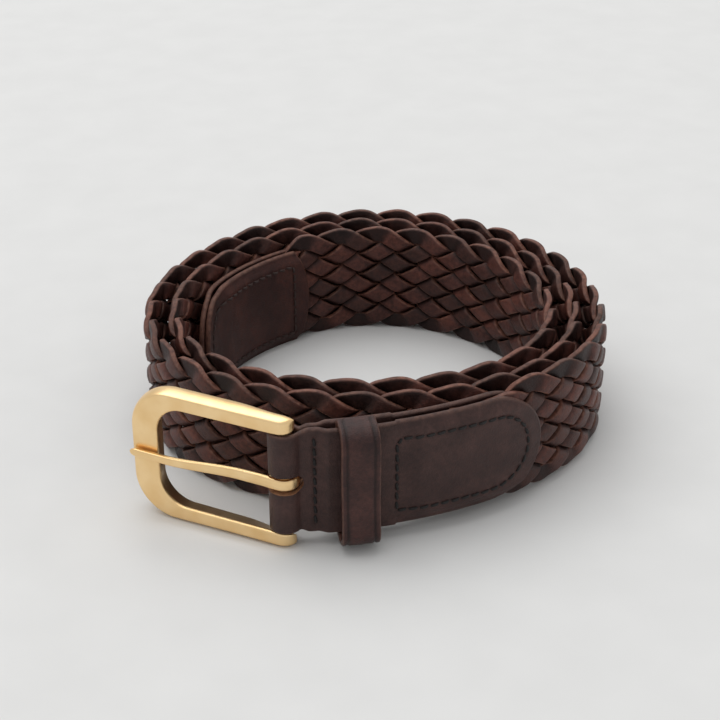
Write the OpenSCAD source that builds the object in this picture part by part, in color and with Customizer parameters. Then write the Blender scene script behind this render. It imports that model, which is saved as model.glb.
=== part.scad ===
// Plaited leather belt, coiled and standing on its edge. +Z up, the coil stands on z = 0.
// A point of the strap is given as (s, n, z): s runs along the strap from the buckle's bar,
// n is the distance outward from the middle of the strap, and z is the height.

/* [Strap] */
// Width of the plaited strap
strap_w = 35; // [33:0.5:35]
// Width of one flat leather strand
strand_w = 5; // [4.4:0.1:5]
// Thickness of one strand
strand_t = 1.9; // [1.5:0.1:1.9]
// Gap between two strands where they cross
crossing_gap = 0.25; // [0.2:0.05:0.4]
// Distance along the strap between two scallops of one edge
scallop_pitch = 12.5; // [12:0.1:13]

/* [Coil] */
// Radius of the coil where it faces the row's +X axis
coil_r = 64.6; // [64:0.1:65.5]
// How much the radius shrinks in one full turn
coil_pitch = 7.0; // [6.8:0.1:7.3]
// How far the coil is from round, as an oval
coil_oval = 1.6; // [0:0.1:2]
// How far the first layer springs away from the coil at the buckle
coil_flare = 12.1; // [11.5:0.1:12.5]
// Height of the buckle's middle above the surface
buckle_z = 19.3; // [19.3:0.1:19.8]

/* [Leather ends] */
// Width of the leather chape that holds the buckle
chape_w = 31; // [30.5:0.5:31]
// Length of the chape, from the bar to its round end
chape_l = 70.5; // [68:0.5:72]
// Thickness of the chape's leather
leather_t = 1.9; // [1.6:0.1:1.9]
// Length of the leather tip at the free end
tip_l = 52; // [50:1:56]
// Width of the leather tip
tip_w = 31; // [30.5:0.5:31]

/* [Keeper] */
// Width of the keeper loop along the strap
keeper_w = 10; // [9:0.5:10.5]
// Thickness of the keeper's leather
keeper_t = 1.5; // [1.3:0.1:1.5]
// Room in the keeper for the strap's free end
keeper_room = 5; // [4.6:0.1:5.4]

/* [Buckle] */
// Height of the buckle's window
window_h = 29.6; // [29.6:0.1:30]
// Distance from the bar to the far end of the buckle
frame_l = 43.6; // [43:0.1:44.5]
// Height of the frame's upper and lower limbs
limb_h = 4.4; // [4:0.1:4.4]
// Width of the frame's end, where the prong rests
end_w = 8.3; // [7.8:0.1:9]
// Thickness of the frame
frame_t = 5; // [4.4:0.1:5.2]
// Radius of the frame's bar
bar_r = 2.2; // [2:0.05:2.2]
// Width of the prong
prong_w = 3.6; // [3:0.1:3.8]

/* [Hidden] */

gold = [0.86, 0.70, 0.42];
dark_leather = [0.24, 0.18, 0.16];
red_leather = [0.30, 0.19, 0.16];
thread_black = [0.06, 0.05, 0.05];

// The coil's plan. The angles are in degrees round the coil's own centre.
start_angle = -117;
turn_angle = 1005;
flare_angle = -48;
oval_angle = -0.5;
egg_angle = -43;
coil_egg = 1.16;
centre_x = 3.44;
centre_y = 7.68;
angle_step = 2;

function squared(v) = v * v;
function smooth(u) = let (v = max(0, min(1, u))) v * v * (3 - 2 * v);
function flare(a) = coil_flare * squared(max(0, flare_angle - a) / (flare_angle - start_angle));
function radius(a) = coil_r - coil_pitch * a / 360 + coil_oval * cos(2 * (a - oval_angle))
    + coil_egg * cos(3 * (a - egg_angle)) + flare(a);
function middle(a) = [centre_x + radius(a) * cos(a), centre_y + radius(a) * sin(a)];

// Length of the strap up to each angle, added up step by step.
angles = [for (a = [start_angle : angle_step : start_angle + turn_angle + angle_step]) a];
step_lengths = [for (i = [1 : len(angles) - 1]) norm(middle(angles[i]) - middle(angles[i - 1]))];
lengths = [for (i = 0, sum = 0; i < len(angles); sum = sum + (i < len(step_lengths) ? step_lengths[i] : 0),
    i = i + 1) sum];
angle_at = [for (i = [0 : len(angles) - 1]) [lengths[i], angles[i]]];
length_at = [for (i = [0 : len(angles) - 1]) [angles[i], lengths[i]]];
strap_l = lookup(start_angle + turn_angle, length_at);

function angle_of(s) = lookup(s, angle_at) + min(0, s) * 57.3 / radius(start_angle);
function along(s) = let (a = angle_of(s), d = middle(a + 0.5) - middle(a - 0.5)) d / norm(d);
function outward(s) = let (d = along(s)) [d[1], -d[0]];
function plan_at(s, n) = middle(angle_of(s)) + n * outward(s);
function heading(s) = let (d = along(s)) atan2(d[1], d[0]);

// The strap rises from the surface to the height of the buckle, and narrows inside both leather ends.
// The tip is narrower than the plait and also stands on the surface, so the plait sinks a little inside it.
rise_from = 118;
rise_to = 64;
tip_from = strap_l - tip_l;
tip_z = tip_w / 2;
function in_tip(s) = smooth((s - tip_from - 1) / 9);
function lift(s) = (buckle_z - strap_w / 2) * smooth((rise_from - s) / (rise_from - rise_to))
    - (strap_w / 2 - tip_z) * in_tip(s);
plait_inside_chape = 42;
plait_inside_tip = strap_l - 17;
narrowing = 0.83;
function plait_scale(s) = 1 - (1 - narrowing)
    * max(smooth((chape_l - 5 - s) / 9), in_tip(s));

// Half of the gap between the two leaves of leather at each end.
plait_t = 2 * strand_t + crossing_gap;
plait_gap = plait_t / 2 + 0.1;
keeper_gap = keeper_t / 2 + 0.6;
closed_gap = 0.1;
bore_r = bar_r + 0.1;
fold_row = 7.5;
box_row = 28.2;
function fold_gap(s) = closed_gap + (bore_r - closed_gap) * (1 - smooth(s / (fold_row - 1.2)));
function chape_gap(s) = s < fold_row ? fold_gap(s)
    : closed_gap + (keeper_gap - closed_gap) * smooth((s - fold_row - 0.6) / 3)
    + (plait_gap - keeper_gap) * smooth((s - box_row - 1) / 6);
function tip_gap(s) = closed_gap + (plait_gap - closed_gap) * smooth((strap_l - 8 - s) / 8);

// The buckle: local x runs from the bar to the frame's end, local y to the front.
frame_angle = 144.4;
frame_front = 3.7;
frame_corner = 12;
window_corner = 7.9;
ear_r = 3.2;
ear_clear = 1.6;
bar_at = plan_at(0, 0);
frame_h = window_h + 2 * limb_h;
prong_clear = 0.05;
prong_t = 1.7;
slot_h = prong_w + 1.4;
slot_end = 4.8;

module on_bar() {
    translate([bar_at[0], bar_at[1], buckle_z]) rotate([0, 0, frame_angle]) children();
}

// The frame's outline, with its middle on the bar's axis and its round end towards +X.
module d_shape(l, h, corner) {
    translate([0, -h / 2]) square([l - corner, h]);
    translate([0, corner - h / 2]) square([l, h - 2 * corner]);
    for (side = [-1, 1]) translate([l - corner, side * (h / 2 - corner)]) circle(r = corner, $fn = 96);
}

module buckle_frame() {
    color(gold) on_bar() {
        difference() {
            union() {
                translate([0, frame_front, 0]) rotate([90, 0, 0]) linear_extrude(frame_t)
                    d_shape(frame_l, frame_h, frame_corner);
                cylinder(r = ear_r, h = frame_h, center = true, $fn = 48);
            }
            translate([0, frame_front + 1, 0]) rotate([90, 0, 0]) linear_extrude(frame_t + 2)
                d_shape(frame_l - end_w, window_h, window_corner);
            cylinder(r = ear_r + ear_clear, h = window_h, center = true, $fn = 48);
        }
        cylinder(r = bar_r, h = window_h + 1, center = true, $fn = 48);
    }
}

// The prong's middle line, at x along the buckle: it leaves the slot low and rises over the frame's end.
prong_root = bar_r + prong_clear;
prong_l = frame_l + 1;
function prong_mid(x) = prong_root + prong_t / 2 - 0.3 * smooth(x / 6) + 2.2 * smooth((x - 11) / 21);
function prong_half(x) = prong_t / 2 * (1 - 0.45 * smooth((x - 30) / 18));

module prong() {
    near = [for (x = [0 : 2 : prong_l]) [x, prong_mid(x) - prong_half(x) + 0.02]];
    far = [for (x = [prong_l : -2 : 0]) [x, prong_mid(x) + prong_half(x)]];
    color(gold) on_bar() {
        difference() {
            union() {
                linear_extrude(prong_w, center = true) polygon(concat(near, far));
                cylinder(r = prong_root + prong_t, h = prong_w, center = true, $fn = 48);
            }
            cylinder(r = prong_root, h = prong_w + 1, center = true, $fn = 48);
        }
    }
}

// A curved sheet of leather that stands on edge: side is 1 for outside the strap, -1 for inside.
function leaf_side(from, to, side, extra, gap) =
    [for (s = [from : (to - from) / ceil((to - from) / 2.5) : to + 0.01]) plan_at(s, side * (gap(s) + extra))];
module leaf(from, to, side, t, w, z, gap) {
    inner = leaf_side(from, to, side, 0, gap);
    outer = leaf_side(from, to, side, t, gap);
    turned = [for (i = [len(outer) - 1 : -1 : 0]) outer[i]];
    translate([0, 0, z - w / 2]) linear_extrude(w) polygon(concat(inner, turned));
}

// A block that keeps everything on the near side of a round end. The round end's widest place is at s.
module round_end(s, w, z) {
    at = plan_at(s, 0);
    translate([at[0], at[1], z]) rotate([0, 0, heading(s)]) rotate([90, 0, 0]) {
        cylinder(r = w / 2, h = 40, center = true, $fn = 96);
        translate([-90, -w, -20]) cube([90, 2 * w, 40]);
    }
}

// The chape's plan is one folded sheet: along the front leaf's outside, round the bar, along the back
// leaf's outside, and back between the leaves. The bore, the prong's slot and the notches that let the
// fold into the frame's window are then cut.
fold_in = 0.8;
fold_w = window_h - 0.4;
fold_end = 5;
function between(s) = chape_gap(s) - 0.35 * (1 - smooth(s / 5));
function leaf_points(from, to, side, offset) =
    [for (i = [0 : leaf_steps]) let (s = from + (to - from) * i / leaf_steps) plan_at(s, side * offset(s))];
leaf_steps = 30;
function backwards(list) = [for (i = [len(list) - 1 : -1 : 0]) list[i]];
fold_arc = [for (a = [97.5 : 7.5 : 262.5])
    bar_at + (bore_r + leather_t) * [cos(heading(0) + a), sin(heading(0) + a)]];
chape_plan = concat(
    leaf_points(0, chape_l + 1, -1, function (s) chape_gap(s) + leather_t),
    backwards(leaf_points(fold_in, chape_l + 1, -1, function (s) between(s))),
    leaf_points(fold_in, chape_l + 1, 1, function (s) between(s)),
    backwards(leaf_points(0, chape_l + 1, 1, function (s) chape_gap(s) + leather_t)),
    backwards(fold_arc));

// Places things at the bar, with x along the strap and y across its thickness.
module at_fold() {
    translate([bar_at[0], bar_at[1], buckle_z]) rotate([0, 0, heading(0)]) children();
}

module chape() {
    color(dark_leather) difference() {
        intersection() {
            translate([0, 0, buckle_z - chape_w / 2]) linear_extrude(chape_w) polygon(chape_plan);
            round_end(chape_l - chape_w / 2, chape_w, buckle_z);
        }
        translate([bar_at[0], bar_at[1], 0]) cylinder(r = bore_r, h = 60, $fn = 48);
        at_fold() translate([-10, -10, -slot_h / 2]) cube([10 + slot_end, 20, slot_h]);
        at_fold() for (side = [-1, 1])
            translate([-10, -10, side * (fold_w / 2 + 2) - 2]) cube([10 + fold_end, 20, 4]);
    }
}

// A loop of flat leather round the chape. Its back wall lies between the chape's two leaves.
keeper_s = 18;
keeper_h = chape_w + 0.8;
keeper_top = buckle_z + chape_w / 2 + 0.3;
keeper_depth = keeper_gap + leather_t + keeper_room;
keeper_r = 3.6;
module round_slab(x, y, r) {
    translate([r, 0]) square([x - 2 * r, y]);
    translate([0, r]) square([x, y - 2 * r]);
    for (i = [r, x - r], j = [r, y - r]) translate([i, j]) circle(r = r, $fn = 48);
}

// Places things at the keeper: x along the strap, y to the front, z from the keeper's lower inner face.
module at_keeper() {
    at = plan_at(keeper_s, 0);
    translate([at[0], at[1], keeper_top - keeper_h]) children();
}

module keeper() {
    back = -keeper_t / 2 - keeper_r;
    color(red_leather) at_keeper() rotate([90, 0, -90]) translate([0, 0, -keeper_w / 2])
        linear_extrude(keeper_w) {
            difference() {
                translate([back, -keeper_t])
                    round_slab(keeper_depth + keeper_t - back, keeper_h + 2 * keeper_t, keeper_r + keeper_t);
                translate([back, 0]) round_slab(keeper_depth - back, keeper_h, keeper_r);
                translate([-keeper_t / 2 - 10, -5]) square([10, keeper_h + 10]);
            }
            translate([-keeper_t / 2, -keeper_t]) square([keeper_t, keeper_h + 2 * keeper_t]);
        }
}

// A straight round rod between two points.
module rod(from, to, r) {
    d = to - from;
    translate(from) rotate([0, acos(d[2] / norm(d)), atan2(d[1], d[0])]) cylinder(r = r, h = norm(d), $fn = 16);
}

thread_r = 0.33;
leg_r = 0.42;
leg_top = 0.4;
thread_gap = 0.9;
function raised(xy, z) = [xy[0], xy[1], z];

// One stitch: a run of thread on each face, and the leg that passes through the leather at its first hole.
module stitch(from, to, cover) {
    toward = from + (to - from) * (1 - thread_gap / norm(to - from));
    for (side = [-1, 1])
        rod(raised(plan_at(from[0], side * cover(from[0])), from[1]),
            raised(plan_at(toward[0], side * cover(toward[0])), toward[1]), thread_r);
    rod(raised(plan_at(from[0], -cover(from[0]) - leg_top), from[1]),
        raised(plan_at(from[0], cover(from[0]) + leg_top), from[1]), leg_r);
}

stitch_pitch = 2.9;
module keeper_seam() {
    reach = 2;
    color(thread_black) at_keeper() for (x = [-3, 0, 3]) {
        for (side = [-1, 1])
            rod([x, side * keeper_t / 2, keeper_h / 2 - reach], [x, side * keeper_t / 2, keeper_h / 2 + reach], 0.25);
        for (z = [-reach, reach])
            rod([x, -keeper_t / 2, keeper_h / 2 + z], [x, keeper_t / 2, keeper_h / 2 + z], 0.25);
    }
}

module fold_stitching() {
    row_h = chape_w - 5;
    count = round(row_h / stitch_pitch);
    step = row_h / count;
    color(thread_black) for (i = [0 : count - 1]) {
        z = buckle_z - row_h / 2 + i * step;
        stitch([fold_row, z], [fold_row, z + step], function (s) chape_gap(s) + leather_t);
    }
}

// A closed outline with one straight end at s = from and one half-round end that reaches s = to, in the
// order: up the straight end, along the top, round, and back along the bottom. q runs from 0 to its length.
function outline_length(from, to, h) = h + 2 * (to - from - h / 2) + 180 * h / 2 / 57.29578;
function outline(q, from, to, h, z) =
    let (side = to - from - h / 2, arc = 180 * h / 2 / 57.29578, mid = to - h / 2)
    q < h ? [from, z - h / 2 + q]
    : q < h + side ? [from + q - h, z + h / 2]
    : q < h + side + arc
    ? let (a = 90 - (q - h - side) / (h / 2) * 57.29578) [mid + h / 2 * cos(a), z + h / 2 * sin(a)]
    : [mid - (q - h - side - arc), z - h / 2];

module outline_stitches(from, to, h, z, turned, cover) {
    total = outline_length(from, to, h);
    count = round(total / stitch_pitch);
    step = total / count;
    function spot(i) = let (p = outline((i % count) * step, from, to, h, z)) turned ? [from + to - p[0], p[1]] : p;
    for (i = [0 : count - 1]) stitch(spot(i), spot(i + 1), cover);
}

stitch_inset = 4.75;
module chape_stitching() {
    color(thread_black) outline_stitches(box_row, chape_l - stitch_inset, chape_w - 2 * stitch_inset, buckle_z,
        false, function (s) chape_gap(s) + leather_t);
}

tip_t = 1.7;
module tip_leaf(side) {
    start_r = 30;
    color(dark_leather) intersection() {
        leaf(tip_from, strap_l, side, tip_t, tip_w, tip_z, function (s) tip_gap(s));
        round_end(strap_l - tip_w / 2, tip_w, tip_z);
        blunt_start(start_r);
    }
}

// Keeps everything past a shallow arc at the tip's start.
module blunt_start(r) {
    at = plan_at(tip_from + r * 0.5, 0);
    translate([at[0], at[1], tip_z]) rotate([0, 0, heading(tip_from + r * 0.5)])
        translate([r * 0.5, 0, 0]) rotate([90, 0, 0]) {
            cylinder(r = r, h = 40, center = true, $fn = 96);
            translate([0, -strap_w, -20]) cube([90, 2 * strap_w, 40]);
        }
}

module tip_outer_leaf() tip_leaf(1);
module tip_inner_leaf() tip_leaf(-1);
module tip_stitching() {
    color(thread_black) outline_stitches(tip_from + 6, strap_l - 4, tip_w - 8, tip_z,
        false, function (s) tip_gap(s) + tip_t);
}

// The plait: nine strands, each over one and under one. A strand's place in the pattern is counted in
// crossings, u. It climbs across the strap for nine of them and comes back down for the next nine.
strand_count = 9;
half_step = scallop_pitch / 2;
turn_soft = 0.8;
row_gap = (strap_w - strand_w) / (strand_count - turn_soft);
weave_angle = atan2(row_gap, half_step);
cut = strand_w / 2 / sin(2 * weave_angle);
flat = cut * cos(weave_angle) / half_step + 0.03;
level_h = (strand_t + crossing_gap) / 2;
function cycle(u) = let (m = u % (2 * strand_count)) m < 0 ? m + 2 * strand_count : m;
function softened(d) = d < turn_soft ? (d * d + turn_soft * turn_soft) / 2 / turn_soft : d;
function row(u) = let (d = abs(cycle(u) - strand_count), half = strand_count / 2)
    d < half ? half - softened(d) : softened(strand_count - d) - half;
function is_turn(m) = m % strand_count == 0;
function climbs(u) = cycle(u) < strand_count;
function level(m) = is_turn(m) ? 0 : (cycle(m) % 2 == 1) == climbs(m) ? level_h : -level_h;

// The four corners of a strand's section at u. The section is cut along the strand that crosses it.
function corner(k, u, m, side, face) =
    let (turning = is_turn(m), s = (u - 2 * k) * half_step,
         ds = turning ? 0 : (climbs(u) ? -1 : 1) * cut * cos(weave_angle) * side,
         dz = (turning ? strand_w / 2 : cut * sin(weave_angle)) * side,
         p = plan_at(s + ds, level(m) + face * strand_t / 2))
    [p[0], p[1], lift(s + ds) + strap_w / 2 + plait_scale(s + ds) * (row(u) * row_gap + dz)];
function ring(k, u, m) = [for (at = [[-1, -1], [1, -1], [1, 1], [-1, 1]]) corner(k, u, m, at[0], at[1])];

module strand(k) {
    first = ceil(plait_inside_chape / half_step) + 2 * k;
    last = floor(plait_inside_tip / half_step) + 2 * k;
    marks = [for (m = [first : last], part = is_turn(m) ? [0] : [-flat, flat]) [m + part, m]];
    points = [for (mark = marks) each ring(k, mark[0], mark[1])];
    rings = len(marks);
    walls = [for (i = [0 : rings - 2], j = [0 : 3])
        let (a = 4 * i + j, b = 4 * i + (j + 1) % 4, c = a + 4, d = b + 4,
             up = climbs((marks[i][0] + marks[i + 1][0]) / 2), split = (j == 2) != up)
        each split ? [[a, b, d], [a, d, c]] : [[a, b, c], [b, d, c]]];
    ends = [[3, 2, 1, 0], [for (j = [0 : 3]) 4 * rings - 4 + j]];
    color(k % 2 == 0 ? dark_leather : red_leather) polyhedron(points = points, faces = concat(walls, ends));
}

buckle_frame();
prong();
chape();
keeper();
keeper_seam();
fold_stitching();
chape_stitching();
tip_outer_leaf();
tip_inner_leaf();
tip_stitching();
strand(0);  // strand_1
strand(1);  // strand_2
strand(2);  // strand_3
strand(3);  // strand_4
strand(4);  // strand_5
strand(5);  // strand_6
strand(6);  // strand_7
strand(7);  // strand_8
strand(8);  // strand_9
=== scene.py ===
import math

import bpy
import numpy as np
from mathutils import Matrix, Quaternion, Vector


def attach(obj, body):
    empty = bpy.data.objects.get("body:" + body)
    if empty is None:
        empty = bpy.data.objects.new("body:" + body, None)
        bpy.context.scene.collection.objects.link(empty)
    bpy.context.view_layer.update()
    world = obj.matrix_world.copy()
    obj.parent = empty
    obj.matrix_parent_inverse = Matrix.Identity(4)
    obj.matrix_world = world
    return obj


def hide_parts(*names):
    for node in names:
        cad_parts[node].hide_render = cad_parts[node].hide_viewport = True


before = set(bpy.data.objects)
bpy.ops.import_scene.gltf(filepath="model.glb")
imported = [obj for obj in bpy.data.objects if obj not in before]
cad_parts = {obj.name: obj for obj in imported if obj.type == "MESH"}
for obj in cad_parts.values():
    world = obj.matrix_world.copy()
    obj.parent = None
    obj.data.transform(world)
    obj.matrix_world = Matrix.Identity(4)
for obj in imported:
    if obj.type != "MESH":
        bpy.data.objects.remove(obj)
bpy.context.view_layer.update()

# All sizes below are in millimetres, and a mesh is scaled to metres when it is made.
MM = 0.001

# ---------------------------------------------------------------- the belt's own values, as in the CAD
STRAP_W, STRAND_W, STRAND_T, CROSSING_GAP = 35.0, 5.0, 1.9, 0.25
HALF_STEP = 6.25
COIL_R, COIL_PITCH, COIL_OVAL, COIL_FLARE, COIL_EGG = 64.6, 7.0, 1.6, 12.1, 1.16
START, TURN, FLARE_ANGLE, OVAL_ANGLE, EGG_ANGLE = -117.0, 1005.0, -48.0, -0.5, -43.0
CENTRE = np.array([3.44, 7.68])
BUCKLE_Z = 19.3
CHAPE_W, CHAPE_L, LEATHER_T = 31.0, 70.5, 1.9
TIP_L, TIP_T, TIP_W = 52.0, 1.7, 31.0
KEEPER_W, KEEPER_T, KEEPER_ROOM, KEEPER_S = 10.0, 1.5, 5.0, 18.0
WINDOW_H, FRAME_L, LIMB_H, END_W, FRAME_FRONT = 29.6, 43.6, 4.4, 8.3, 3.7
FRAME_CORNER, WINDOW_CORNER, EAR_R, BAR_R = 12.0, 7.9, 3.2, 2.2
FRAME_DEPTH = 5.5
FOLD_W, SLOT_H, SLOT_END = 29.2, 5.0, 4.8
PRONG_W, PRONG_T = 3.6, 1.7
FRAME_ANGLE = 144.4
RISE_FROM, RISE_TO = 118.0, 64.0
CLOSED_GAP, BORE_R, FOLD_ROW, BOX_ROW = 0.1, 2.3, 7.5, 28.2
PLAIT_GAP = STRAND_T + CROSSING_GAP / 2 + 0.1
KEEPER_GAP = KEEPER_T / 2 + 0.6
NARROWING = 0.83


def smooth(u):
    v = np.clip(u, 0, 1)
    return v * v * (3 - 2 * v)


def radius(a):
    flare = COIL_FLARE * (np.maximum(0, FLARE_ANGLE - a) / (FLARE_ANGLE - START)) ** 2
    return (COIL_R - COIL_PITCH * a / 360 + COIL_OVAL * np.cos(np.radians(2 * (a - OVAL_ANGLE)))
            + COIL_EGG * np.cos(np.radians(3 * (a - EGG_ANGLE))) + flare)


def middle(a):
    a = np.asarray(a, float)
    r = radius(a)
    return CENTRE + np.stack([r * np.cos(np.radians(a)), r * np.sin(np.radians(a))], -1)


ANGLES = np.arange(START, START + TURN + 2.5, 2.0)
LENGTHS = np.concatenate([[0], np.cumsum(np.linalg.norm(np.diff(middle(ANGLES), axis=0), axis=1))])
STRAP_L = float(np.interp(START + TURN, ANGLES, LENGTHS))
TIP_FROM = STRAP_L - TIP_L


def angle_of(s):
    return np.interp(s, LENGTHS, ANGLES) + np.minimum(0, s) * 57.3 / radius(START)


def outward(s):
    a = angle_of(s)
    d = middle(a + 0.5) - middle(a - 0.5)
    d = d / np.linalg.norm(d, axis=-1, keepdims=True)
    return np.stack([d[..., 1], -d[..., 0]], -1)


def place(s, n, z):
    """The point s along the strap, n outward from its middle and z up."""
    s, n, z = np.broadcast_arrays(np.asarray(s, float), n, z)
    p = middle(angle_of(s)) + n[..., None] * outward(s)
    return np.concatenate([p, z[..., None]], -1)


def in_tip(s):
    return smooth((s - TIP_FROM - 1) / 9)


def lift(s):
    rise = (BUCKLE_Z - STRAP_W / 2) * smooth((RISE_FROM - s) / (RISE_FROM - RISE_TO))
    return rise - (STRAP_W - TIP_W) / 2 * in_tip(s)


def plait_scale(s):
    return 1 - (1 - NARROWING) * np.maximum(smooth((CHAPE_L - 5 - s) / 9), in_tip(s))


def pinch(gap, z, half, low):
    """Two leaves that hold the plait between them come together towards their long edges."""
    return gap - np.maximum(gap - low, 0) * smooth((np.abs(z) - (half - 4.2)) / 4.2)


def chape_gap(s, z):
    barrel = np.sqrt((BORE_R + LEATHER_T) ** 2 - np.clip(s, 0, 4.1) ** 2) - LEATHER_T
    fold = (barrel + CLOSED_GAP) / 2 + np.sqrt(((barrel - CLOSED_GAP) / 2) ** 2 + 0.02 * smooth(s / 2))
    flat = (CLOSED_GAP + (KEEPER_GAP - CLOSED_GAP) * smooth((s - FOLD_ROW - 0.6) / 3)
            + (PLAIT_GAP - KEEPER_GAP) * smooth((s - BOX_ROW - 1) / 6))
    held = pinch(flat, z, CHAPE_W / 2, 0.7)
    return np.where(s < FOLD_ROW, fold, np.where(s > BOX_ROW, held, flat))


def tip_gap(s, z):
    return pinch(CLOSED_GAP + (PLAIT_GAP - CLOSED_GAP) * smooth((STRAP_L - 8 - s) / 8), z, TIP_W / 2, 0.45)


# ---------------------------------------------------------------- materials
def linear(rgb):
    curve = lambda c: c / 12.92 if c <= 10 / 255 else ((c + 0.055) / 1.055) ** 2.4
    return (*(curve(c / 255) for c in rgb), 1.0)


class Nodes:
    """A short way to write one material's nodes."""

    def __init__(self, name):
        self.mat = bpy.data.materials.new(name)
        self.mat.use_nodes = True
        self.tree = self.mat.node_tree
        self.shader = next(n for n in self.tree.nodes if n.type == "BSDF_PRINCIPLED")
        coord = self.tree.nodes.new("ShaderNodeTexCoord")
        mapping = self.add("ShaderNodeMapping")
        mapping.inputs["Scale"].default_value = (1000, 1000, 1000)
        self.link(coord.outputs["Object"], mapping.inputs["Vector"])
        self.mm = mapping.outputs["Vector"]

    def add(self, kind, **settings):
        node = self.tree.nodes.new(kind)
        for key, value in settings.items():
            setattr(node, key, value)
        return node

    def link(self, a, b):
        self.tree.links.new(a, b)

    def put(self, value, socket):
        if hasattr(value, "links"):
            self.link(value, socket)
        else:
            socket.default_value = value

    def noise(self, scale, detail=2.0, rough=0.5, distortion=0.0, vector=None):
        n = self.add("ShaderNodeTexNoise")
        self.link(vector or self.mm, n.inputs["Vector"])
        n.inputs["Scale"].default_value = scale
        n.inputs["Detail"].default_value = detail
        n.inputs["Roughness"].default_value = rough
        n.inputs["Distortion"].default_value = distortion
        return n.outputs["Fac"]

    def cells(self, scale, feature="F1", randomness=1.0):
        n = self.add("ShaderNodeTexVoronoi", feature=feature)
        self.link(self.mm, n.inputs["Vector"])
        n.inputs["Scale"].default_value = scale
        n.inputs["Randomness"].default_value = randomness
        return n.outputs["Distance"]

    def math(self, op, a, b=0.0):
        n = self.add("ShaderNodeMath", operation=op)
        self.put(a, n.inputs[0])
        self.put(b, n.inputs[1])
        return n.outputs[0]

    def range(self, value, a, b, c, d):
        n = self.add("ShaderNodeMapRange")
        self.link(value, n.inputs["Value"])
        for key, v in (("From Min", a), ("From Max", b), ("To Min", c), ("To Max", d)):
            n.inputs[key].default_value = v
        return n.outputs["Result"]

    def ramp(self, value, stops):
        n = self.add("ShaderNodeValToRGB")
        self.link(value, n.inputs["Fac"])
        while len(n.color_ramp.elements) < len(stops):
            n.color_ramp.elements.new(0.5)
        for e, (place_, colour) in zip(n.color_ramp.elements, stops):
            e.position, e.color = place_, linear(colour)
        return n.outputs["Color"]

    def mix(self, fac, a, b, kind="MIX"):
        n = self.add("ShaderNodeMix", data_type="RGBA", blend_type=kind)
        self.put(fac, n.inputs[0])
        self.put(a, n.inputs[6])
        self.put(b, n.inputs[7])
        return n.outputs[2]

    def attribute(self, name):
        return self.add("ShaderNodeAttribute", attribute_name=name).outputs["Fac"]

    def bump(self, height, distance_mm, strength=1.0, normal=None):
        n = self.add("ShaderNodeBump")
        n.inputs["Strength"].default_value = strength
        n.inputs["Distance"].default_value = distance_mm * MM
        self.link(height, n.inputs["Height"])
        if normal is not None:
            self.link(normal, n.inputs["Normal"])
        return n.outputs["Normal"]

    def set(self, **values):
        for key, value in values.items():
            self.put(value, self.shader.inputs[key.replace("_", " ")])
        return self.mat


SHADE = (18, 10, 9)


def leather(name, dark, mid, light, edge, rough=(0.40, 0.58), grain=0.035, edge_amount=0.75):
    """Vegetable-tanned leather: cloudy dye, fine pores and creases, paler cut edges, rubbed places that also carry
    a painted highlight, and painted shade.
    """
    m = Nodes(name)
    cloud = m.noise(0.11, 3.0, 0.6)
    mottle = m.noise(0.9, 4.0, 0.6)
    tone = m.math("ADD", m.math("MULTIPLY", cloud, 0.6), m.math("MULTIPLY", mottle, 0.4))
    base = m.ramp(tone, [(0.36, dark), (0.5, mid), (0.66, light)])
    # Raised crossings (the rise attribute) are lightened towards the light tone: partly rubbed wear, partly a
    # painted highlight.
    rub_and_highlight = m.math("MULTIPLY", m.attribute("rise"), m.range(mottle, 0.3, 0.7, 0.2, 1.0))
    base = m.mix(m.math("MULTIPLY", rub_and_highlight, 0.6), base, linear(light))
    worn = m.math("MULTIPLY", m.attribute("edge"), m.range(m.noise(0.7, 3.0), 0.35, 0.65, 0.25, 1.0))
    base = m.mix(m.math("MULTIPLY", worn, edge_amount), base, linear(edge))
    # Painted shade: darkened towards SHADE wherever the shade attribute is set.
    base = m.mix(m.math("MULTIPLY", m.attribute("shade"), 0.85), base, linear(SHADE))
    pores = m.range(m.cells(2.6), 0.0, 0.7, 0.0, 1.0)
    wrinkle = m.noise(1.6, 4.0, 0.7, 0.6)
    fine = m.noise(7.0, 2.0, 0.6)
    height = m.math("ADD", m.math("MULTIPLY", pores, 0.45),
                    m.math("ADD", m.math("MULTIPLY", wrinkle, 0.9), m.math("MULTIPLY", fine, 0.3)))
    gloss = m.range(m.math("ADD", mottle, m.math("MULTIPLY", fine, 0.3)), 0.45, 0.85, rough[0], rough[1])
    return m.set(Base_Color=base, Roughness=gloss, Specular_IOR_Level=0.24,
                 Normal=m.bump(height, grain * 4))


def metal(name):
    """Satin gold plating: a fine brushed haze over a smooth casting."""
    m = Nodes(name)
    haze = m.noise(0.16, 2.0)
    fine = m.noise(9.0, 3.0, 0.7)
    colour = m.mix(m.range(haze, 0.3, 0.7, 0, 1), linear((240, 203, 146)), linear((250, 218, 166)))
    both = m.math("ADD", m.math("MULTIPLY", haze, 0.6), m.math("MULTIPLY", fine, 0.4))
    rough = m.range(both, 0.3, 0.7, 0.27, 0.38)
    return m.set(Base_Color=colour, Metallic=1.0, Roughness=rough, Normal=m.bump(fine, 0.02, 0.35))


def thread(name, dark, light):
    m = Nodes(name)
    fibre = m.noise(6.0, 3.0, 0.7, 1.2)
    colour = m.ramp(fibre, [(0.3, dark), (0.7, light)])
    return m.set(Base_Color=colour, Roughness=m.range(fibre, 0.3, 0.7, 0.6, 0.8), Normal=m.bump(fibre, 0.12))


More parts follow.
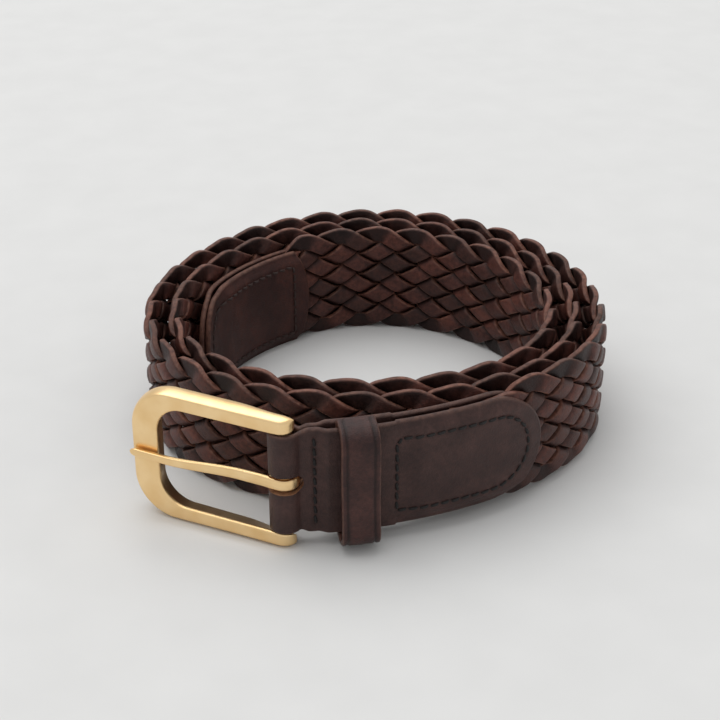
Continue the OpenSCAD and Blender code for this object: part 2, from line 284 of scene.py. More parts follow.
TAB = leather("tab_leather", (49, 33, 31), (61, 42, 39), (76, 53, 49), (116, 84, 71), (0.34, 0.5), edge_amount=0.5)
TIP_LEATHER = leather("tip_leather", (44, 23, 20), (57, 31, 27), (75, 42, 35), (122, 86, 71), edge_amount=0.7)
KEEPER_LEATHER = leather("keeper_leather", (44, 27, 26), (60, 37, 34), (80, 50, 45), (118, 84, 70), (0.28, 0.42),
                         edge_amount=0.45)
STRANDS = [leather(f"plait_leather_{i}", *tones, edge, rough=(0.34, 0.5)) for i, (edge, *tones) in enumerate((
    ((128, 88, 74), (42, 24, 22), (60, 35, 31), (96, 57, 49)),
    ((114, 80, 67), (35, 22, 20), (51, 31, 28), (82, 50, 43)),
    ((138, 94, 78), (47, 26, 23), (67, 38, 33), (104, 61, 51))))]
RAW = leather("raw_leather", (120, 84, 62), (146, 106, 80), (168, 126, 98), (176, 134, 104), edge_amount=0.2)
GOLD = metal("satin_gold")
THREAD = thread("dark_thread", (9, 7, 7), (26, 20, 19))
TIP_THREAD = thread("brown_thread", (40, 26, 23), (58, 38, 33))


# ---------------------------------------------------------------- mesh helpers
def make(name, verts, faces, material, body, nodes, attributes=None, more=()):
    """One piece of the visual model from points in millimetres."""
    mesh = bpy.data.meshes.new(name)
    mesh.from_pydata((np.asarray(verts) * MM).tolist(), [], faces)
    mesh.validate()
    mesh.polygons.foreach_set("use_smooth", [True] * len(mesh.polygons))
    for key, values in (attributes or {}).items():
        a = mesh.attributes.new(key, "FLOAT", "POINT")
        a.data.foreach_set("value", np.asarray(values, np.float32).ravel())
    for m in (material, *more):
        mesh.materials.append(m)
    obj = bpy.data.objects.new(name, mesh)
    bpy.context.scene.collection.objects.link(obj)
    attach(obj, body)
    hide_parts(*nodes)
    return obj


def tube_faces(rings, around, first=0, close_ends=True):
    """Faces of a tube whose points lie ring after ring."""
    faces = []
    for i in range(rings - 1):
        a = first + i * around
        b = a + around
        faces += [(a + j, a + (j + 1) % around, b + (j + 1) % around, b + j) for j in range(around)]
    if close_ends:
        faces.append(tuple(first + j for j in range(around))[::-1])
        faces.append(tuple(first + (rings - 1) * around + j for j in range(around)))
    return faces


def strand_section(half_w=STRAND_W / 2, half_t=STRAND_T / 2):
    """A flat strand's section with domed faces and soft edges, as (x, y) points anticlockwise."""
    a = np.radians(np.array([0, 14, 30, 46, 60, 74, 90]))
    x = half_w * np.cos(a) ** 0.42
    x[-1] = 0
    y = half_t * np.sin(a) ** 0.76
    x[1:-1] = half_w * (1 - (1 - np.cos(a[1:-1])) ** 2.2)
    quarter = np.stack([x, y], -1)
    top = np.concatenate([quarter, quarter[-2::-1] * [-1, 1]])
    return np.concatenate([top, top[1:-1][::-1] * [1, -1]])


def shell(outer, inner):
    """A closed sheet from two grids of points whose borders are the same points."""
    rows, cols = outer.shape[:2]
    index = np.arange(rows * cols).reshape(rows, cols)
    under = index.copy()
    under[1:-1, 1:-1] = rows * cols + np.arange((rows - 2) * (cols - 2)).reshape(rows - 2, cols - 2)
    verts = np.concatenate([outer.reshape(-1, 3), inner[1:-1, 1:-1].reshape(-1, 3)])
    quads = lambda g: np.stack([g[:-1, :-1], g[1:, :-1], g[1:, 1:], g[:-1, 1:]], -1).reshape(-1, 4)
    faces = np.concatenate([quads(index), quads(under)[:, ::-1]])
    return verts, faces.tolist()


def steps(length, fine, coarse):
    """Distances from an edge: a few close together, then even steps up to length."""
    head = [v for v in fine if v < length]
    count = max(2, int((length - fine[-1]) / coarse))
    return np.array(head + list(np.linspace(fine[-1], length, count)[1:]))


EDGE_STEPS = (0, 0.03, 0.1, 0.22, 0.38, 0.58, 0.8, 1.05)


def across(half):
    d = steps(half, EDGE_STEPS, 0.42)
    z = d - half
    return np.concatenate([z, -z[::-1][1:]])


def edge_profile(d, r):
    return np.sqrt(np.clip(1 - (1 - np.clip(d / r, 0, 1)) ** 2, 0, 1))


# ---------------------------------------------------------------- the plait
ROW_SOFT = 0.8
ROW_GAP = (STRAP_W - STRAND_W) / (9 - ROW_SOFT)
WEAVE = math.degrees(math.atan2(ROW_GAP, HALF_STEP))
LEVEL = (STRAND_T + CROSSING_GAP) / 2


def weave(u):
    """Row and slope of a strand at u crossings from its first one."""
    c = np.mod(u, 18)
    d = np.abs(c - 9)
    soft = lambda v: np.where(v < ROW_SOFT, (v * v + ROW_SOFT ** 2) / 2 / ROW_SOFT, v)
    row = np.where(d < 4.5, 4.5 - soft(d), soft(9 - d) - 4.5)
    slope = np.where(d < 4.5, np.clip(d / ROW_SOFT, 0, 1), np.clip((9 - d) / ROW_SOFT, 0, 1))
    return row, np.where(c < 9, slope, -slope)


def level(m):
    c = m % 18
    return 0.0 if c % 9 == 0 else (1.0 if (c % 2 == 1) == (c < 9) else -1.0)


def strand(k):
    rng = np.random.default_rng(700 + k)
    first = math.ceil(42 / HALF_STEP) + 2 * k
    last = math.floor((STRAP_L - 17) / HALF_STEP) + 2 * k
    per = 10
    u = np.arange(0, (last - first) * per + 1) / per + first
    marks = np.arange(first - 2, last + 3)
    levels = np.array([level(m) for m in marks]) * (1 + rng.uniform(-0.05, 0.05, len(marks)))
    near = np.rint(u).astype(int) - marks[0]
    t = u - np.rint(u)
    here = levels[near]
    other = np.where(t > 0, levels[near + 1], levels[near - 1])
    # flat over each crossing, with a quick change halfway to the next one
    w = 0.5 * (1 + np.tanh(6.8 * (np.abs(t) - 0.5)) / math.tanh(3.4))
    height = LEVEL * (here + (other - here) * w) * (1 + 0.14 * np.cos(np.pi * t) ** 2)
    row, slope = weave(u)
    psi = np.radians(90 + (90 - WEAVE) * slope)
    half = STRAND_W / 2 / np.sin(psi - np.radians(WEAVE * slope))
    wob = np.interp(u, marks, rng.normal(0, 0.07, len(marks)))
    tilt = np.interp(u, marks, rng.normal(0, 0.035, len(marks)))
    sec = strand_section()
    side, face = sec[:, 0] / (STRAND_W / 2), sec[:, 1]
    ds = (half * np.cos(psi))[:, None] * side
    dz = (half * np.sin(psi))[:, None] * side
    s = ((u - 2 * k) * HALF_STEP)[:, None] + ds
    n = height[:, None] + face * 1.0 + tilt[:, None] * side * 2.5
    z = lift(s) + STRAP_W / 2 + plait_scale(s) * ((row * ROW_GAP + wob)[:, None] + dz)
    z = np.maximum(z, 0.0)
    verts = place(s, n, z).reshape(-1, 3)
    rings, around = s.shape
    edge = np.clip((np.abs(side) - 0.86) / 0.12, 0, 1)
    edge = np.broadcast_to(edge, (rings, around))
    # Rubbed wear plus a painted highlight on the face where the strand lies on top at a crossing.
    rise = np.clip((face * np.sign(height[:, None]) > 0) * np.abs(height[:, None]) / LEVEL, 0, 1) * (1 - edge)
    # Painted shade where the strand dips under its neighbours, and towards its sides.
    above = np.sign(face) * height[:, None] / LEVEL
    shade = smooth(0.62 - 0.62 * above + 0.25 * np.abs(side) ** 6) * (np.abs(side) < 0.999)
    return make(f"plait_strand_{k + 1}", verts, tube_faces(rings, around), STRANDS[k % 3], "strap",
                [f"strand_{k + 1}"], {"edge": edge, "rise": rise, "shade": shade * (1 - edge)})


for k in range(9):
    strand(k)


# ---------------------------------------------------------------- stitches
def circle(count):
    a = np.arange(count) * 2 * np.pi / count
    return np.stack([np.cos(a), np.sin(a)], -1)


def outline(start, end, h, z, pitch):
    """Even points round a closed outline with one straight end and one half-round end, as (s, z)."""
    r = h / 2
    side, arc = end - start - r, math.pi * r
    total = h + 2 * side + arc
    count = round(total / pitch)
    points = []
    for i in range(count):
        q = i * total / count
        if q < h:
            p = (start, z - r + q)
        elif q < h + side:
            p = (start + q - h, z + r)
        elif q < h + side + arc:
            a = math.pi / 2 - (q - h - side) / r
            p = (end - r + r * math.cos(a), z + r * math.sin(a))
        else:
            p = (end - r - (q - h - side - arc), z - r)
        points.append(p)
    return np.array(points)


FOLD_HOLES = np.stack([np.full(10, FOLD_ROW), BUCKLE_Z - 13 + np.arange(10) * 26 / 9], -1)
CHAPE_HOLES = outline(BOX_ROW, CHAPE_L - 4.75, CHAPE_W - 9.5, BUCKLE_Z, 2.9)
TIP_HOLES = outline(TIP_FROM + 6, STRAP_L - 4, TIP_W - 8, TIP_W / 2, 2.9)


def nearest(s, z, points):
    """Distance from each (s, z) to a line of points, closed or not."""
    return np.min(np.hypot(s[..., None] - points[:, 0], z[..., None] - points[:, 1]), axis=-1)


def dense(points, closed=True):
    ends = np.roll(points, -1, axis=0) if closed else points[1:]
    starts = points if closed else points[:-1]
    return np.concatenate([starts + (ends - starts) * f for f in np.linspace(0, 0.9, 10)])


def threads(name, holes, face, closed, nodes, material=None):
    """Arched thread stitches between neighbouring holes, on both faces."""
    pairs = zip(holes, np.roll(holes, -1, axis=0)) if closed else zip(holes[:-1], holes[1:])
    verts, faces = [], []
    around, rings = 10, 11
    ring = circle(around)
    for a, b in pairs:
        d = (b - a) / np.linalg.norm(b - a)
        across_ = np.array([-d[1], d[0]])
        length = np.linalg.norm(b - a)
        for side in (1, -1):
            q = np.linspace(0, 1, rings)
            slant = 0.16 * (q - 0.5) * 2
            at = a + d * (0.13 + q[:, None] * (length - 0.26)) + across_ * slant[:, None]
            arch = 0.24 - 0.85 * np.abs(2 * q - 1) ** 5
            r = 0.40 * (0.72 + 0.28 * np.sin(np.pi * np.clip(q, 0.06, 0.94)))
            pts = at[:, None, :] + across_ * (r[:, None] * ring[:, 0])[..., None]
            height = face(at[:, 0], at[:, 1]) + arch
            n = side * (height[:, None] + 0.8 * r[:, None] * ring[:, 1])
            p = place(pts[..., 0], n, pts[..., 1])
            order = p if side > 0 else p[:, ::-1]
            faces += tube_faces(rings, around, len(verts) * rings * around)
            verts.append(order.reshape(-1, 3))
    return make(name, np.concatenate(verts), faces, material or THREAD, "strap", nodes)


# ---------------------------------------------------------------- the chape, folded round the bar
BAR = middle(START)
HEAD0 = math.radians(-90) + math.atan2(*outward(0.0)[::-1]) + math.pi
FOLD_R = BORE_R + LEATHER_T / 2
FOLD_HALF = math.pi / 2 * FOLD_R
CHAPE_LINE = dense(CHAPE_HOLES)
FOLD_LINE = dense(FOLD_HOLES, False)
TIP_LINE = dense(TIP_HOLES)


def groove(s, z, line, holes, depth=0.2):
    g = np.exp(-(nearest(s, z, line) / 0.55) ** 2) * depth
    return g + np.exp(-(nearest(s, z, holes) / 0.4) ** 2) * 0.28


def chape_face(s, z):
    """How far the chape's outer face is from the strap's middle."""
    z0 = z - BUCKLE_Z
    soft = 0.10 * np.sin(s / 3.1 + 0.6) * np.cos(z0 / 4.3) * smooth((s - 34) / 6) * smooth((14 - np.abs(z0)) / 4)
    cut = groove(s, z, CHAPE_LINE, CHAPE_HOLES) + groove(s, z, FOLD_LINE, FOLD_HOLES)
    crease = 0.10 * np.exp(-((np.abs(z0) - (CHAPE_W / 2 - 1.7)) / 0.32) ** 2) * smooth((s - 12) / 4)
    return chape_gap(s, z0) + LEATHER_T + soft - cut - crease


def chape():
    half = CHAPE_W / 2
    z0 = across(half)
    trim = half - np.sqrt(np.maximum(half ** 2 - z0 ** 2, 0))
    zone = half + 4
    narrow = lambda s: 1 - (1 - FOLD_W / CHAPE_W) * (1 - smooth((s - 3.6) / 2.6))
    leaf = CHAPE_L
    near_end = steps(zone, EDGE_STEPS, 0.42)
    rest = np.arange(zone, leaf, 0.42)[1:]
    arc = np.linspace(-FOLD_HALF, FOLD_HALF, 41)
    # distance from the leaf's end, for one leaf; q is negative on the back leaf
    ends = np.concatenate([near_end, rest])
    front_s = leaf - ends[::-1]
    q_rows = np.concatenate([-(front_s[::-1] + FOLD_HALF), arc, front_s + FOLD_HALF])
    q = np.repeat(q_rows[:, None], len(z0), 1)
    z = np.repeat(z0[None], len(q_rows), 0)
    s = np.maximum(np.abs(q) - FOLD_HALF, 0)
    e = leaf - s
    squeezed = trim + (zone - trim) * np.clip(e / zone, 0, 1)
    e = np.where(e < zone, squeezed, e)
    s = np.where(np.abs(q) > FOLD_HALF, leaf - e, 0)
    d_round = half - np.hypot(np.maximum(half - e, 0), z)
    d = np.maximum(np.minimum(half - np.abs(z), d_round), 0)
    z = z * narrow(s)
    t = edge_profile(d, 0.75) * LEATHER_T / 2
    side = np.sign(q)
    zz = z + BUCKLE_Z
    mid = chape_gap(s, z) + LEATHER_T / 2
    relief = (chape_face(s, zz) - mid - LEATHER_T / 2) * smooth(d / 0.9)
    on_leaf = np.abs(q) > FOLD_HALF
    phi = np.radians(180) + math.pi / 2 * np.clip(q / FOLD_HALF, -1, 1) + HEAD0
    ray = np.stack([np.cos(phi), np.sin(phi)], -1)

    def sheet(offset):
        flat = place(s, side * (mid + offset), zz)
        bent = np.concatenate([BAR + (FOLD_R + offset)[..., None] * ray, zz[..., None]], -1)
        return np.where(on_leaf[..., None], flat, bent)

    outer, inner = sheet(t + relief), sheet(-t)
    verts, faces = shell(outer, inner)
    edge = np.clip(1 - d / 0.7, 0, 1)
    edge_all = np.concatenate([edge.ravel(), edge[1:-1, 1:-1].ravel()])
    obj = make("chape_leather", verts, faces, TAB, "strap", ["chape"],
               {"edge": edge_all, "rise": np.zeros(len(verts))}, (RAW,))
    return obj


CUT_REACH = 9.0


def cut_slot(obj):
    """Cut the prong's slot through the fold: straight sides, a round end, and the raw leather on its walls."""
    r, far = SLOT_H / 2, SLOT_END - SLOT_H / 2
    ring = [(-CUT_REACH, -r), (far, -r)]
    ring += [(far + r * math.sin(a), -r * math.cos(a)) for a in np.radians(range(12, 169, 12))]
    ring += [(far, r), (-CUT_REACH, r)]
    count = len(ring)
    heading = outward(0.0)
    along = np.array([-heading[1], heading[0]])
    points = []
    for y in (-CUT_REACH, CUT_REACH):
        for x, z in ring:
            xy = BAR + x * along + y * heading
            points.append((xy[0] * MM, xy[1] * MM, (BUCKLE_Z + z) * MM))
    faces = [tuple(range(count)), tuple(range(2 * count - 1, count - 1, -1))]
    faces += [(i, i + count, (i + 1) % count + count, (i + 1) % count) for i in range(count)]
    mesh = bpy.data.meshes.new("slot_cutter")
    mesh.from_pydata(points, [], faces)
    mesh.materials.append(RAW)
    mesh.update()
    inside = sum((p.center for p in mesh.polygons), Vector()) / len(mesh.polygons)
    if sum((p.center - inside).dot(p.normal) * p.area for p in mesh.polygons) < 0:
        mesh.flip_normals()
    cutter = bpy.data.objects.new("slot_cutter", mesh)
    bpy.context.scene.collection.objects.link(cutter)
    cut = obj.modifiers.new("slot", "BOOLEAN")
    cut.operation, cut.solver, cut.object, cut.material_mode = "DIFFERENCE", "EXACT", cutter, "TRANSFER"
    bpy.context.view_layer.update()
    done = bpy.data.meshes.new_from_object(obj.evaluated_get(bpy.context.evaluated_depsgraph_get()))
    obj.modifiers.clear()
    bpy.data.objects.remove(cutter)
    obj.data = done
    for p in done.polygons:
        p.use_smooth = done.materials[p.material_index] is not RAW


cut_slot(chape())
threads("chape_thread", CHAPE_HOLES, chape_face, True, ["chape_stitching"])
threads("fold_thread", FOLD_HOLES, chape_face, False, ["fold_stitching"])


# ---------------------------------------------------------------- the tip
def tip_face(s, z):
    z0 = z - TIP_W / 2
    return tip_gap(s, z0) + TIP_T - groove(s, z, TIP_LINE, TIP_HOLES, 0.12)


def tip_leaf(name, side, node):
    half, start_r = TIP_W / 2, 30.0
    z0 = across(half)
    start = TIP_FROM + start_r - np.sqrt(start_r ** 2 - z0 ** 2)
    end = STRAP_L - half + np.sqrt(np.maximum(half ** 2 - z0 ** 2, 0))
    d_half = steps(TIP_L / 2, EDGE_STEPS, 0.42)
    f = np.concatenate([d_half, TIP_L - d_half[::-1][1:]]) / TIP_L
    s = start + f[:, None] * (end - start)
    z = np.repeat(z0[None], len(f), 0)
    d_round = half - np.hypot(np.maximum(s - (STRAP_L - half), 0), z)
    d = np.maximum(np.minimum(np.minimum(half - np.abs(z), d_round), s - start), 0)
    t = edge_profile(d, 0.6) * TIP_T / 2
    zz = z + half
    mid = tip_gap(s, z) + TIP_T / 2
    relief = (tip_face(s, zz) - mid - TIP_T / 2) * smooth(d / 0.9)
    a = place(s, side * (mid + t + relief), zz)
    b = place(s, side * (mid - t), zz)
    if side < 0:
        a, b = a[::-1], b[::-1]
        d = d[::-1]
    verts, faces = shell(a, b)
    edge = np.clip(1 - d / 0.7, 0, 1)
    edge = np.concatenate([edge.ravel(), edge[1:-1, 1:-1].ravel()])
    return make(name, verts, faces, TIP_LEATHER, "strap", [node],
                {"edge": edge, "rise": np.zeros(len(verts))})


tip_leaf("tip_outer_leather", 1, "tip_outer_leaf")
tip_leaf("tip_inner_leather", -1, "tip_inner_leaf")
threads("tip_thread", TIP_HOLES, tip_face, True, ["tip_stitching"], TIP_THREAD)


# ---------------------------------------------------------------- the keeper
KEEPER_TOP = BUCKLE_Z + CHAPE_W / 2 + 0.3
KEEPER_H = CHAPE_W + 0.8
KEEPER_DEPTH = KEEPER_GAP + LEATHER_T + KEEPER_ROOM
KEEPER_AT = place(KEEPER_S, 0, 0)[:2]


def corner_path(corners, radii, step):
    """Points of a closed outline with rounded corners, anticlockwise, and the outward normal at each."""
    points = []
    count = len(corners)
    for i in range(count):
        p, a, b = corners[i], corners[i - 1], corners[(i + 1) % count]
        u, v = (a - p) / np.linalg.norm(a - p), (b - p) / np.linalg.norm(b - p)
        r = radii[i]
        centre = p + (u + v) * r
        for k in range(9):
            t = math.pi / 2 * k / 8
            points.append(centre - v * r * math.cos(t) - u * r * math.sin(t))
    points = np.array(points)
    closed = np.concatenate([points, points[:1]])
    lengths = np.concatenate([[0], np.cumsum(np.linalg.norm(np.diff(closed, axis=0), axis=1))])
    q = np.linspace(0, lengths[-1], int(lengths[-1] / step))[:-1]
    out = np.stack([np.interp(q, lengths, closed[:, 0]), np.interp(q, lengths, closed[:, 1])], -1)
    tangent = np.roll(out, -1, axis=0) - np.roll(out, 1, axis=0)
    tangent /= np.linalg.norm(tangent, axis=1, keepdims=True)
    return out, np.stack([tangent[:, 1], -tangent[:, 0]], -1)


def keeper():
    n1, low, high = KEEPER_DEPTH + KEEPER_T / 2, KEEPER_TOP - KEEPER_H - KEEPER_T / 2, KEEPER_TOP + KEEPER_T / 2
    path, normal = corner_path([np.array(p) for p in ((0, low), (n1, low), (n1, high), (0, high))],
                               (1.1, 4.35, 4.35, 1.1), 0.45)
    zc = (low + high) / 2
    up = np.clip((path[:, 1] - zc) / (KEEPER_H / 2), -1, 1)
    bulge = 0.35 * np.cos(up * math.pi / 2) * smooth((path[:, 0] - 4) / 4)
    path = path + np.stack([bulge, np.zeros(len(path))], -1)
    half_w, half_t, r = KEEPER_W / 2, KEEPER_T / 2, 0.5
    outer_x = np.linspace(half_w - r, -half_w + r, 35)
    crease = 0.3 * np.exp(-((np.abs(outer_x) - (half_w - 1.5)) / 0.3) ** 2)
    crown = 0.06 * (1 - (outer_x / half_w) ** 2)
    far_x, far_y = half_w - r, half_t - r
    sin, cos = lambda a: r * math.sin(math.radians(a)), lambda a: r * math.cos(math.radians(a))
    # each point is (x, y, how much it is a cut edge)
    section = [(x, half_t - c + w, 0.0) for x, c, w in zip(outer_x, crease, crown)]
    section += [(-far_x - sin(a), far_y + cos(a), 1.0) for a in (30, 60, 90)]
    section += [(-far_x - cos(a), -far_y - sin(a), 1.0) for a in (0, 30, 60, 90)]
    section += [(x, -half_t, 0.0) for x in np.linspace(-far_x, far_x, 9)[1:-1]]
    section += [(far_x + sin(a), -far_y - cos(a), 1.0) for a in (0, 30, 60, 90)]
    section += [(far_x + cos(a), far_y + sin(a), 1.0) for a in (0, 30, 60)]
    section = np.array(section)
    count = len(path)
    sway = 0.12 * np.sin(np.arange(count) / count * 2 * np.pi * 2 + 0.7)
    x = section[:, 0][None] * (1 + 0.008 * np.sin(np.arange(count) / 9.0))[:, None] + sway[:, None]
    p = path[:, None, :] + normal[:, None, :] * section[:, 1][None, :, None]
    verts = np.stack([KEEPER_AT[0] + x, KEEPER_AT[1] - p[..., 0], p[..., 1]], -1)
    around = section.shape[0]
    index = np.arange(count * around).reshape(count, around)
    nxt = np.roll(index, -1, axis=0)
    faces = np.stack([index, nxt, np.roll(nxt, -1, axis=1), np.roll(index, -1, axis=1)], -1)
    flesh = (section[:, 1] < 0) * 0.9
    # Painted shade: darker along the two crease lines on the keeper's outer face.
    dark = np.exp(-((np.abs(section[:, 0]) - (half_w - 1.5)) / 0.4) ** 2) * (section[:, 1] > 0) * 0.8
    everywhere = lambda v: np.broadcast_to(v, (count, around))
    return make("keeper_loop", verts.reshape(-1, 3), faces.reshape(-1, 4).tolist(), KEEPER_LEATHER, "keeper",
                ["keeper"],
                {"edge": everywhere(np.maximum(section[:, 2], flesh)), "rise": np.zeros(count * around),
                 "shade": everywhere(dark)})


keeper()


def keeper_thread():
    """Three short stitches that close the keeper's back wall."""
    verts, faces = [], []
    around, rings = 8, 9
    ring = circle(around)
    z_mid = KEEPER_TOP - KEEPER_H / 2
    for x0 in (-3, 0, 3):
        for side in (1, -1):
            q = np.linspace(-1, 1, rings)
            n = KEEPER_T / 2 - 0.02 - 0.6 * np.abs(q) ** 5
            p = np.stack([np.broadcast_to(KEEPER_AT[0] + x0 + 0.3 * ring[:, 0], (rings, around)),
                          KEEPER_AT[1] - side * (n[:, None] + 0.15 * ring[:, 1]),
                          np.broadcast_to((z_mid + 2.0 * q)[:, None], (rings, around))], -1)
            faces += tube_faces(rings, around, len(verts) * rings * around)
            verts.append((p if side < 0 else p[:, ::-1]).reshape(-1, 3))
    return make("keeper_thread", np.concatenate(verts), faces, THREAD, "keeper", ["keeper_seam"])


keeper_thread()


# ---------------------------------------------------------------- the buckle
def on_bar(points):
    """From the buckle's own axes (x from the bar to the far end, y to the front, z up) to the shared frame."""
    a = math.radians(FRAME_ANGLE)
    x, y, z = points[..., 0], points[..., 1], points[..., 2]
    return np.stack([BAR[0] + x * math.cos(a) - y * math.sin(a), BAR[1] + x * math.sin(a) + y * math.cos(a),
                     z + BUCKLE_Z], -1)


def d_line(l, h, corner, start, counts):
    """Half of a D-shaped outline, from its upper limb's end at x = start to the middle of its far end."""
    limb = np.stack([np.linspace(start, l - corner, counts[0]), np.full(counts[0], h / 2)], -1)
    a = np.radians(np.linspace(90, 0, counts[1]))[1:]
    arc = np.stack([l - corner + corner * np.cos(a), h / 2 - corner + corner * np.sin(a)], -1)
    end = np.stack([np.full(counts[2], l), np.linspace(h / 2 - corner, 0, counts[2])], -1)[1:]
    return np.concatenate([limb, arc, end])


def frame_section(width, front, back, per=7):
    """A section of the frame: x outward from its window side, y from back to front. The outer side is domed."""
    depth = front - back
    dome, wall = min(1.25, width * 0.3), min(1.5, depth * 0.35)
    lip = min(0.55, wall * 0.4)
    corners = ((width - dome, front - depth * 0.58, dome, depth * 0.58, 90, 0),
               (width - 1.5, back + depth * 0.42, 1.5, depth * 0.42, 0, -90),
               (2.1, back + 0.5, 0.7, 0.5, -90, -150),
               (lip * 1.4, front - wall + lip, lip * 1.4, lip, -150, -180), (lip, front - lip, lip, lip, 180, 90))
    points = []
    for cx, cy, rx, ry, start, end in corners:
        for a in np.radians(np.linspace(start, end, per)):
            points.append((cx + rx * math.cos(a), cy + ry * math.sin(a)))
    # even points along the flat front face keep its shading clean
    first, last = points[-1], points[0]
    points += [(last[0] * f + first[0] * (1 - f), last[1] * f + first[1] * (1 - f)) for f in (0.08, 0.5, 0.92)]
    return np.array(points)


def buckle():
    counts = (46, 26, 10)
    outer = d_line(FRAME_L, WINDOW_H + 2 * LIMB_H, FRAME_CORNER, -EAR_R, counts)
    inner = d_line(FRAME_L - END_W, WINDOW_H, WINDOW_CORNER, -EAR_R, counts)
    # closer stations where the limb's end is rounded
    bend = np.linspace(0, 1, counts[0]) ** 1.35
    for line, l, corner in ((outer, FRAME_L, FRAME_CORNER), (inner, FRAME_L - END_W, WINDOW_CORNER)):
        line[:counts[0], 0] = -EAR_R + (l - corner + EAR_R) * bend
    flip = np.array([1, -1])
    outer = np.concatenate([outer, outer[::-1][1:] * flip])
    inner = np.concatenate([inner, inner[::-1][1:] * flip])
    width = np.linalg.norm(outer - inner, axis=1)
    direction = (outer - inner) / width[:, None]
    rings = []
    for c, w, e in zip(inner, width, direction):
        x = c[0]
        tuck = math.sqrt(max(0.01, 1 - max(0, (0.6 - x) / (0.6 + EAR_R)) ** 2.4))
        front = 0.3 + (FRAME_FRONT - 0.3) * tuck
        back = 0.2 - (0.2 + FRAME_DEPTH - FRAME_FRONT) * min(1, 0.4 + 0.6 * smooth(x / 12)) * tuck
        shrink = 0.22 * w * (1 - tuck)
        rings.append([(c[0] + e[0] * q[0], q[1], c[1] + e[1] * q[0])
                      for q in frame_section(w, front, back) * [1 - 2 * shrink / w, 1] + [shrink, 0]])
    verts = on_bar(np.array(rings))
    n, around = verts.shape[:2]
    faces = tube_faces(n, around)
    verts = verts.reshape(-1, 3)
    # the bar
    t = np.linspace(0, 2 * math.pi, 33)[:-1]
    zs = np.linspace(-WINDOW_H / 2 - 1.5, WINDOW_H / 2 + 1.5, 14)
    bar = on_bar(np.stack(np.broadcast_arrays(BAR_R * np.cos(t), BAR_R * np.sin(t), zs[:, None]), -1))
    faces += tube_faces(len(zs), len(t), len(verts))
    return make("buckle_gold", np.concatenate([verts, bar.reshape(-1, 3)]), faces, GOLD, "buckle",
                ["buckle_frame"])


buckle()


def prong_mid(x):
    """The prong's middle line, at x along the buckle: it leaves the slot low and rises over the frame's end."""
    return BAR_R + 0.05 + PRONG_T / 2 - 0.3 * smooth(x / 6) + 2.2 * smooth((x - 11) / 21)


def prong():
    length = FRAME_L - 0.4
    r = BAR_R + 0.05 + PRONG_T / 2
    loop = np.radians(np.linspace(90 + 330, 90, 60))
    end = 2.0
    x = np.concatenate([np.linspace(0, length - end, 90)[1:],
                        length - end * np.cos(np.linspace(0.1, math.pi / 2, 10))])
    thick = PRONG_T * (1 - 0.45 * smooth((x - 30) / 18))
    line = np.concatenate([np.stack([r * np.cos(loop), r * np.sin(loop)], -1),
                           np.stack([x, prong_mid(x)], -1)])
    half_t = np.concatenate([np.full(len(loop), PRONG_T / 2), thick / 2])
    root_w = PRONG_W / 2 - 0.2
    half_w = np.concatenate([np.full(len(loop), root_w), root_w * (1 - 0.3 * smooth((x - 3) / 38))])
    along = np.concatenate([np.full(len(loop), 0.0), x])
    tip = np.sqrt(np.clip(1 - np.clip((along - (length - end)) / end, 0, 1) ** 2, 0.003, 1))
    tangent = np.gradient(line, axis=0)
    tangent /= np.linalg.norm(tangent, axis=1, keepdims=True)
    normal = np.stack([-tangent[:, 1], tangent[:, 0]], -1)
    t = np.linspace(0, 2 * math.pi, 33)[:-1]
    shape = lambda v: np.sign(v) * np.abs(v) ** 0.62
    rings = []
    for p, n, w, h, k in zip(line, normal, half_w, half_t, tip):
        across_ = w * (0.35 + 0.65 * k) * k ** 0.5 * shape(np.cos(t))
        up = h * k ** 0.8 * shape(np.sin(t))
        q = p[None] + n[None] * up[:, None]
        rings.append(np.stack([q[:, 0], q[:, 1], -across_], -1))
    verts = on_bar(np.array(rings))
    return make("prong_gold", verts.reshape(-1, 3), tube_faces(*verts.shape[:2]), GOLD, "prong",
                ["prong"])


prong()


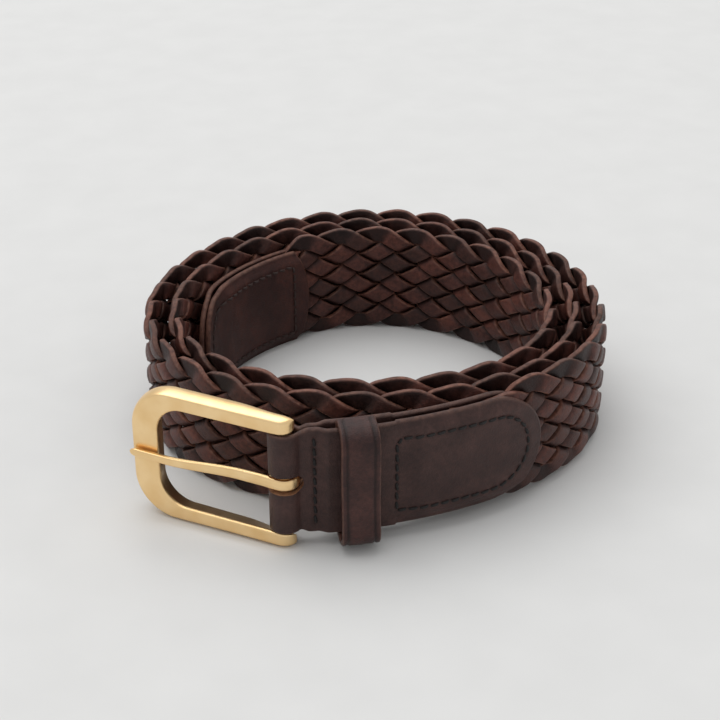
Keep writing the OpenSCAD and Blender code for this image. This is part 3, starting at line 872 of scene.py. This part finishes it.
# ---------------------------------------------------------------- floor, light and camera
def floor():
    m = Nodes("pale_floor")
    grain = m.noise(0.05, 2.0)
    m.set(Base_Color=m.mix(m.range(grain, 0.3, 0.7, 0, 1), linear((216, 216, 215)), linear((219, 219, 218))),
          Roughness=0.85, Specular_IOR_Level=0.15)
    mesh = bpy.data.meshes.new("floor")
    count, r = 96, 6.0
    turns = [2 * math.pi * i / count for i in range(count)]
    ring = [(r * math.cos(a), r * math.sin(a), 0) for a in turns]
    mesh.from_pydata(ring, [], [tuple(range(count))])
    mesh.materials.append(m.mat)
    obj = bpy.data.objects.new("floor", mesh)
    bpy.context.scene.collection.objects.link(obj)


floor()


def area(name, at, aim, size, power, colour=(1, 1, 1)):
    lamp = bpy.data.lights.new(name, "AREA")
    lamp.shape, lamp.size, lamp.size_y = "RECTANGLE", size[0], size[1]
    lamp.energy, lamp.color = power, colour
    obj = bpy.data.objects.new(name, lamp)
    bpy.context.scene.collection.objects.link(obj)
    obj.location = at
    obj.rotation_mode = "QUATERNION"
    obj.rotation_quaternion = (Vector(aim) - Vector(at)).to_track_quat("-Z", "Y")


world = bpy.data.worlds.new("studio")
world.use_nodes = True
world.node_tree.nodes["Background"].inputs["Color"].default_value = (1, 1, 1, 1)
world.node_tree.nodes["Background"].inputs["Strength"].default_value = 0.68
bpy.context.scene.world = world
area("key", (-0.6, 0.9, 3.1), (0, 0, 0), (3.6, 3.6), 66.0)

camera = bpy.data.objects.new("camera", bpy.data.cameras.new("camera"))
bpy.context.scene.collection.objects.link(camera)
view_from, view_up, roll = (math.radians(a) for a in (-10.434, 28.542, -0.155))
aim, distance = Vector((-0.00039, 0.00208, 0.01685)), 0.46812
level_part = math.cos(view_up)
back = Vector((math.sin(view_from) * level_part, -math.cos(view_from) * level_part, math.sin(view_up)))
camera.location = aim + distance * back
camera.rotation_mode = "QUATERNION"
camera.rotation_quaternion = back.to_track_quat("Z", "Y") @ Quaternion((0, 0, 1), roll)
camera.data.lens = 79.98
camera.data.sensor_width = 36.0
camera.data.clip_start, camera.data.clip_end = 0.02, 30.0
bpy.context.scene.camera = camera
bpy.context.scene.view_settings.view_transform = "Standard"
